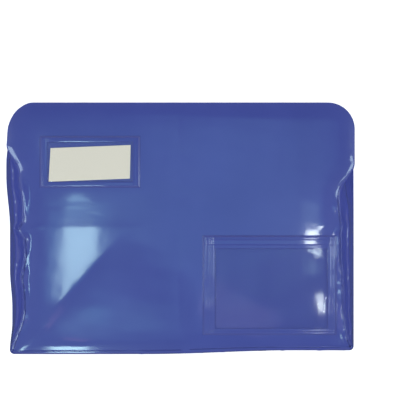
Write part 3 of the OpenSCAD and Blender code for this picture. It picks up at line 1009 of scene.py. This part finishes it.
def pocket(prefix, centre, size, bands, gap, ribs, rib_height, slack, film):
    """A welded pocket: cover patch with raised weld ribs, and the clear film behind its window.

    bands are the widths of the patch's left, right, lower and upper sides, and ribs their weld
    lines as distances in from the edge. gap is the room under the film, slack how far it sags.
    """
    cx, cy = centre
    x0, x1, y0, y1 = cx - size[0] / 2, cx + size[0] / 2, cy - size[1] / 2, cy + size[1] / 2
    left, right, low, high = bands
    wx0, wx1, wy0, wy1 = x0 + left, x1 - right, y0 + low, y1 - high
    rib_x = [x0 + r for r in ribs[0]] + [x1 - r for r in ribs[1]]
    rib_low = [y0 + r for r in ribs[2]]
    rib_high = [y1 - r for r in ribs[3]]
    body_top = gap + FILM + 0.2
    wobble = waves(int(cx) + 500, 4, 30, 80)

    def height(x, y):
        edge = np.minimum(np.minimum(x - x0, x1 - x), np.minimum(y - y0, y1 - y))
        hole = np.maximum(np.maximum(wx0 - x, x - wx1), np.maximum(wy0 - y, y - wy1))
        top = body_top + 0.06 * wobble(x, y)
        top = top - (body_top - EDGE_TOP) * (1 - blend(0, 2.6, edge))
        top = top - 0.12 * (1 - blend(0, 1.2, hole))
        inside_y = (y > y0 + 2) & (y < y1 - 2)
        inside_x = (x > x0 + 2) & (x < x1 - 2)
        for r in rib_x:
            top = top + rib_height * hump(x, r, RIB_WIDTH) * inside_y
        for r in rib_low + rib_high:
            top = top + rib_height * hump(y, r, RIB_WIDTH) * inside_x
        floor = np.where((x > wx0 - 2) & (x < wx1 + 2) & (y > wy0 - 2), gap + FILM, 0.0)
        return top, np.minimum(floor, top - 0.15)

    x_lines = around(rib_x) + [wx0, wx1, wx0 - 2, wx1 + 2, *stepped(wx0, -1), *stepped(wx1, 1)]
    xs = marks(x0, x1, x_lines + rounded(x0, 1) + rounded(x1, -1), 4)
    y_lines = around(rib_low + rib_high) + [wy0, wy1, wy0 - 2, *stepped(wy0, -1), *stepped(wy1, 1)]
    ys = marks(y0, y1, y_lines + rounded(y0, 1) + rounded(y1, -1), 4)

    def on_patch(x, y):
        return not (wx0 < x < wx1 and wy0 < y < wy1)

    plate(prefix + "_frame_patch", xs, ys, on_patch, height, NYLON_PATCH, prefix + "_frame")
    fx0, fx1, fy0, fy1 = wx0 - 1.8, wx1 + 1.8, wy0 - 1.8, y1 - 0.6
    slackness = waves(int(cx) + 700, 5, 40, 110)

    def film_height(x, y):
        edge = np.minimum(np.minimum(x - fx0, fx1 - x), np.minimum(y - fy0, fy1 - y))
        sag = slack * blend(0, 14, edge) * (0.5 + 0.5 * slackness(x, y))
        top = gap + FILM - 0.01 - sag
        return top, top - 0.2

    def everywhere(x, y):
        return True

    xs, ys = marks(fx0, fx1, [], 3), marks(fy0, fy1, [], 3)
    plate(prefix + "_window_film", xs, ys, everywhere, film_height, film, prefix + "_window")


LABEL_AT, DOCUMENT_AT = (-118, 88), (118, -74)
LABEL_RIBS = ((4.4, 5.6), (4.2, 8.0), (), ())
DOCUMENT_RIBS = ((1.9, 4.6, 8.6, 11.4, 14.2), (2.4, 5.0, 8.2), (2.2, 5.4), (2.4, 5.6, 12.6))
pocket("label_pocket", LABEL_AT, (132, 68), (10.5, 10.5, 8, 8), 0.9, LABEL_RIBS, 0.1, 0.1, LABEL_FILM)
BANDS = (16.5, 11.5, 8.5, 17.5)
pocket("document_pocket", DOCUMENT_AT, (176, 131), BANDS, 0.8, DOCUMENT_RIBS, 0.2, 0.3, DOCUMENT_FILM)


def card():
    """The label card: turned a little, faintly bowed, and cut slightly out of square."""
    width, height, turn = 106.0, 44.0, math.radians(2.2)
    centre_x, centre_y = LABEL_AT[0], LABEL_AT[1] - 2
    c, s = math.cos(turn), math.sin(turn)
    xs = np.linspace(-width / 2, width / 2, 28)
    ys = np.linspace(-height / 2, height / 2, 12)
    verts = []
    for lift in (0.6, 0.3):
        for x in xs:
            for y in ys:
                z = PLATEAU + lift + 0.05 * math.sin(x / 22)
                skewed = x + y * (0.078 - 0.017 * x / (width / 2))
                verts.append((centre_x + c * skewed - s * y, centre_y + s * skewed + c * y, z))
    n, cols = len(xs), len(ys)
    half = n * cols
    faces = grid_faces(n, cols, flip=True)
    faces += [tuple(k + half for k in reversed(f)) for f in faces]
    rim = [i * cols for i in range(n)] + [(n - 1) * cols + j for j in range(1, cols)]
    rim += [i * cols + cols - 1 for i in range(n - 2, -1, -1)] + list(range(cols - 2, 0, -1))
    for a, b in zip(rim, rim[1:] + rim[:1]):
        faces.append((a, a + half, b + half, b))
    obj = mesh_object("label_card_paper", verts, faces, smooth=False)
    fix_normals(obj)
    return finish_piece(obj, CARD, "card", "label_card")


card()


def run_length(verts):
    return float(travelled(verts[:, verts.shape[1] // 2])[-1]) * MM


run_length(BOX)
run_length(FACE_F)
run_length(FACE_B)


# ---------------------------------------------------------------- stage, light and camera
# two soft glows in the sky: where, as a direction from straight up, how wide, and colour
GLOWS = [
    ((0.0095, -0.0010), 0.082, (0.58, 1.28, 1.78)),
    ((-0.0335, -0.0095), 0.029, (0.50, 1.15, 1.35)),
]
# the sky's colour from straight down, through the horizon, to straight up
SKY_STOPS = [
    (0.0, (0.08, 0.10, 0.19)),
    (0.5, (0.11, 0.14, 0.25)),
    (0.6, (0.30, 0.34, 0.44)),
    (0.72, (1.0, 1.0, 1.0)),
    (0.88, (1.0, 1.0, 1.0)),
    (0.95, (0.55, 0.57, 0.6)),
    (1.0, (0.24, 0.26, 0.30)),
]


def overhead_glow(nodes, links, sky, at, reach, color):
    """A soft cyan patch of sky nearly overhead, fading out over a few degrees."""
    flat = nodes.new("ShaderNodeVectorMath")
    flat.operation = "MULTIPLY_ADD"
    flat.inputs[1].default_value = (1, 1, 0)
    flat.inputs[2].default_value = (-at[0], -at[1], 0)
    links.new(nodes.new("ShaderNodeTexCoord").outputs["Generated"], flat.inputs[0])
    away = nodes.new("ShaderNodeVectorMath")
    away.operation = "LENGTH"
    links.new(flat.outputs["Vector"], away.inputs[0])
    fade = nodes.new("ShaderNodeMapRange")
    fade.interpolation_type = "SMOOTHSTEP"
    for socket, value in (("From Min", 0.0), ("From Max", reach), ("To Min", 1.0), ("To Max", 0.0)):
        fade.inputs[socket].default_value = value
    links.new(away.outputs["Value"], fade.inputs["Value"])
    mix = nodes.new("ShaderNodeMix")
    mix.data_type = "RGBA"
    mix.blend_type = "ADD"
    mix.inputs[7].default_value = (*color, 1)
    links.new(fade.outputs["Result"], mix.inputs[0])
    links.new(sky, mix.inputs[6])
    return mix.outputs[2]


def stage():
    """A pale floor just under the bag, and the sky."""
    corners = [(x * 4000, y * 4000, 0) for x, y in ((-1, -1), (1, -1), (1, 1), (-1, 1))]
    floor = mesh_object("floor", corners, [(0, 1, 2, 3)])
    floor.location.z = -0.0004
    floor.data.materials.append(floor_material())
    floor.visible_glossy = False
    world = bpy.data.worlds.new("studio")
    world.use_nodes = True
    nodes, links = world.node_tree.nodes, world.node_tree.links
    split = nodes.new("ShaderNodeSeparateXYZ")
    links.new(nodes.new("ShaderNodeTexCoord").outputs["Generated"], split.inputs[0])
    height = nodes.new("ShaderNodeMapRange")
    height.inputs["From Min"].default_value = -1
    links.new(split.outputs["Z"], height.inputs["Value"])
    glow = ramp(nodes, links, height.outputs["Result"], SKY_STOPS)
    for at, reach, color in GLOWS:
        glow = overhead_glow(nodes, links, glow, at, reach, color)
    links.new(glow, nodes["Background"].inputs["Color"])
    nodes["Background"].inputs["Strength"].default_value = 0.65
    bpy.context.scene.world = world


def area_light(name, place, target, size, radiance, color):
    """A rectangle of light, as bright as radiance says whatever its size."""
    data = bpy.data.lights.new(name, "AREA")
    data.shape = "RECTANGLE"
    data.size, data.size_y = size
    data.energy = radiance * math.pi * size[0] * size[1]
    data.color = color
    obj = bpy.data.objects.new(name, data)
    obj.location = place
    obj.rotation_euler = (Vector(target) - Vector(place)).to_track_quat("-Z", "Y").to_euler()
    obj.visible_camera = False
    bpy.context.scene.collection.objects.link(obj)
    return obj


CAM_X, CAM_Y, CAM_H = 0.0266, 0.0379, 4.0
# width of the view, in metres, at the level that the lens is set for
CAM_VIEW, VIEW_LEVEL = 0.5275, 0.03
PANEL_LEVEL = PLATEAU * MM
SKY = (0.62, 0.97, 1.0)
SPARK = (0.9, 1.0, 1.0)


def mirror_light(name, x, y, size, radiance, color=SKY, height=0.9, turn=0.0):
    """A light that a flat panel shows to the camera at x, y with this size."""
    grow = 1 + height / (CAM_H - PANEL_LEVEL)
    lx, ly = CAM_X + (x - CAM_X) * grow, CAM_Y + (y - CAM_Y) * grow
    size = (size[0] * grow, size[1] * grow)
    light = area_light(name, (lx, ly, height + PANEL_LEVEL), (lx, ly, 0), size, radiance, color)
    light.rotation_euler.rotate_axis("Z", math.radians(turn))


stage()

# These hang where the photograph shows bright reflections on the bag.
mirror_light("soft_window", -0.1305, -0.018, (0.047, 0.064), 11.5)
mirror_light("soft_window_middle", -0.1365, -0.0625, (0.035, 0.025), 11.5)
mirror_light("soft_window_tip", -0.146, -0.0865, (0.016, 0.023), 11.5)
mirror_light("soft_window_halo", -0.135, -0.035, (0.075, 0.13), 0.8, (0.2, 0.8, 1.0))
mirror_light("soft_upper", -0.130, 0.027, (0.042, 0.020), 7, (0.5, 0.93, 1.0), turn=-42)
mirror_light("soft_upper_left", -0.147, 0.029, (0.010, 0.028), 4, (0.5, 0.93, 1.0))
mirror_light("label_bar", -0.180, 0.099, (0.005, 0.038), 3, SKY, 0.5)
mirror_light("foot_window", -0.145, -0.325, (0.056, 0.18), 18)
mirror_light("spark_top", 0.173, -0.009, (0.018, 0.022), 26, SPARK, 0.4)
mirror_light("spark_middle", 0.1795, -0.031, (0.006, 0.012), 22, (0.85, 1.0, 1.0), 0.4)
mirror_light("spark_faint", 0.173, -0.054, (0.014, 0.018), 1.6, SKY, 0.6)
mirror_light("spark_haze", 0.171, 0.016, (0.022, 0.04), 0.9, SKY, 0.6)
mirror_light("spark_low", 0.187, -0.101, (0.011, 0.023), 26, SPARK, 0.4, 14)
mirror_light("warm_patch", -0.134, -0.143, (0.026, 0.020), 1.1, (1.0, 0.5, 0.7))
mirror_light("film_haze", 0.075, -0.115, (0.11, 0.055), 0.8, (0.75, 0.6, 1.0), turn=-32)


for name, x, y in (("side_left", -0.60, -0.02), ("side_right", 0.62, 0.0)):
    far_side = math.copysign(0.21, -x)
    area_light(name, (x, y, 0.95), (far_side, y, 0.04), (0.2, 0.4), 7, (0.72, 0.94, 1.0))

camera_data = bpy.data.cameras.new("camera")
camera_data.sensor_width = 36
camera_data.lens = 36 * (CAM_H - VIEW_LEVEL) / CAM_VIEW
camera = bpy.data.objects.new("camera", camera_data)
camera.location = (CAM_X, CAM_Y, CAM_H)
bpy.context.scene.collection.objects.link(camera)
bpy.context.scene.camera = camera
bpy.context.scene.view_settings.view_transform = "Standard"
